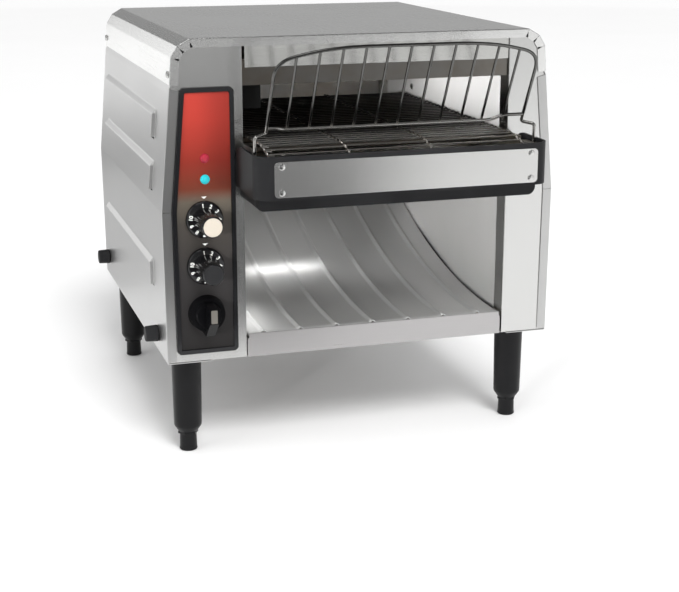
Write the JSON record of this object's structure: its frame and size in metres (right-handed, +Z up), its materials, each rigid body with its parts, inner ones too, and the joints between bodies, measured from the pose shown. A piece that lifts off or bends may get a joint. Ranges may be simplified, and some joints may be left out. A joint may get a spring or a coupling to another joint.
{
  "type": "conveyor toaster",
  "caption": "Countertop conveyor toaster: folded stainless housing on legs, wire belt through the oven, curved ribbed slide, wire loading rack and a column of dial knobs.",
  "frame": {"origin": "on the floor under the feet, midway across the housing and midway between the rear panel and the loading rack's foremost wire", "axes": "+Z up; -Y towards the user at the loading side; +X to the right seen from the front"},
  "size_m": [0.431, 0.4826, 0.4191],
  "materials": {
    "stainless": "brushed",
    "stainless_front": "satin",
    "stainless_polished": "bright rolled",
    "stainless_slide": "satin",
    "steel_oven": "heat dulled",
    "steel_dark": "mill finish",
    "steel_shaft": "machined",
    "belt_wire": "bright wire, heat tinted",
    "rack_wire": "bright plated",
    "screw_steel": "bright",
    "black_paint": "satin",
    "motor_paint": "matt",
    "element_sheath": "oxidised",
    "ceramic": "fired ceramic",
    "bronze": "sintered",
    "black_plastic": "moulded",
    "knob_black": "gloss",
    "cap_ivory": "gloss",
    "cap_grey": "satin",
    "overlay_print": "printed polyester",
    "lamp_red": "clear lens",
    "lamp_blue": "clear lens",
    "leg_black": "satin",
    "foot_black": "satin",
    "spacer_rubber": "matt"
  },
  "bodies": {
    "chassis": {"base_pan": "steel_dark", "belt_front_turn": "belt_wire", "belt_lower_run": "belt_wire", "belt_rear_turn": "belt_wire", "belt_upper_run": "belt_wire", "bumper_pan": "black_paint", "bumper_plate": "stainless_front", "control_bezel": "black_plastic", "control_bodies": "black_plastic", "control_overlay": "overlay_print", "cord_gland": "black_plastic", "drive_chain": "steel_shaft", "element_bushes": "ceramic", "fan_frame": "black_plastic", "front_bumper": "black_paint", "gearmotor": "motor_paint", "header_baffle": "steel_oven", "header_panel": "stainless_polished", "heating_elements": "element_sheath", "left_belt_rail": "steel_oven", "left_front_column": "stainless_front", "left_oven_wall": "stainless_polished", "left_side_panel": "stainless", "legs": "leg_black", "lower_reflector": "steel_oven", "motor_bracket": "steel_dark", "power_lamp": "lamp_red", "rack_sockets": "steel_oven", "ready_lamp": "lamp_blue", "rear_guide": "steel_oven", "rear_panel": "stainless", "right_belt_rail": "steel_oven", "right_front_column": "stainless_front", "right_oven_wall": "stainless_polished", "right_side_panel": "stainless", "screws_and_rivets": "screw_steel", "sensor_shield": "black_paint", "shaft_bearings": "bronze", "side_spacers": "spacer_rubber", "slide_bracket": "steel_oven", "toast_slide": "stainless_slide", "top_cover": "stainless", "upper_reflector": "steel_oven"},
    "drive": {"drive_shaft": "steel_shaft", "drive_sprockets": "steel_shaft", "chain_sprocket": "steel_shaft"},
    "idler": {"front_idler": "steel_shaft"},
    "motor_wheel": {"motor_sprocket": "steel_shaft"},
    "fan": {"fan_rotor": "black_plastic"},
    "speed_control": {"speed_knob": "knob_black", "speed_knob_cap": "cap_ivory"},
    "power_control": {"power_knob": "knob_black", "power_knob_cap": "cap_grey"},
    "function_control": {"function_knob": "knob_black"},
    "rack": {"loading_rack": "rack_wire"},
    "tray": {"crumb_tray": "stainless_slide"},
    "foot_front_left": {"front_left_foot": "foot_black"},
    "foot_front_right": {"front_right_foot": "foot_black"},
    "foot_rear_left": {"rear_left_foot": "foot_black"},
    "foot_rear_right": {"rear_right_foot": "foot_black"}
  },
  "joints": [
    {"name": "drive_turn", "type": "hinge", "parent": "chassis", "child": "drive", "pos_m": [0, 0.1393, 0.29951], "axis": [1, 0, 0], "continuous": true},
    {"name": "idler_turn", "type": "hinge", "parent": "chassis", "child": "idler", "pos_m": [0, -0.2047, 0.30018], "axis": [1, 0, 0], "continuous": true},
    {"name": "motor_turn", "type": "hinge", "parent": "chassis", "child": "motor_wheel", "pos_m": [0, 0.1133, 0.205], "axis": [1, 0, 0], "continuous": true},
    {"name": "fan_turn", "type": "hinge", "parent": "chassis", "child": "fan", "pos_m": [-0.1632, 0.22, 0.32], "axis": [0, 1, 0], "continuous": true},
    {"name": "speed_turn", "type": "hinge", "parent": "chassis", "child": "speed_control", "pos_m": [-0.1623, -0.16, 0.2475], "axis": [0, -1, 0], "range_deg": [0, 288]},
    {"name": "power_turn", "type": "hinge", "parent": "chassis", "child": "power_control", "pos_m": [-0.1623, -0.16, 0.2015], "axis": [0, -1, 0], "range_deg": [0, 288]},
    {"name": "function_turn", "type": "hinge", "parent": "chassis", "child": "function_control", "pos_m": [-0.1623, -0.16, 0.154], "axis": [0, -1, 0], "range_deg": [-90, 90]},
    {"name": "rack_lift", "type": "slide", "parent": "chassis", "child": "rack", "axis": [0, 0, 1], "range_m": [0, 0.1]},
    {"name": "tray_pull", "type": "slide", "parent": "chassis", "child": "tray", "axis": [0, -1, 0], "range_m": [0, 0.27]},
    {"name": "front_left_level", "type": "slide", "parent": "chassis", "child": "foot_front_left", "axis": [0, 0, -1], "range_m": [0, 0.02]},
    {"name": "front_right_level", "type": "slide", "parent": "chassis", "child": "foot_front_right", "axis": [0, 0, -1], "range_m": [0, 0.02]},
    {"name": "rear_left_level", "type": "slide", "parent": "chassis", "child": "foot_rear_left", "axis": [0, 0, -1], "range_m": [0, 0.02]},
    {"name": "rear_right_level", "type": "slide", "parent": "chassis", "child": "foot_rear_right", "axis": [0, 0, -1], "range_m": [0, 0.02]}
  ],
  "couplings": [
    {"joint": "idler_turn", "follows": "drive_turn", "ratio": 1.4705},
    {"joint": "motor_turn", "follows": "drive_turn", "ratio": 1.5}
  ]
}
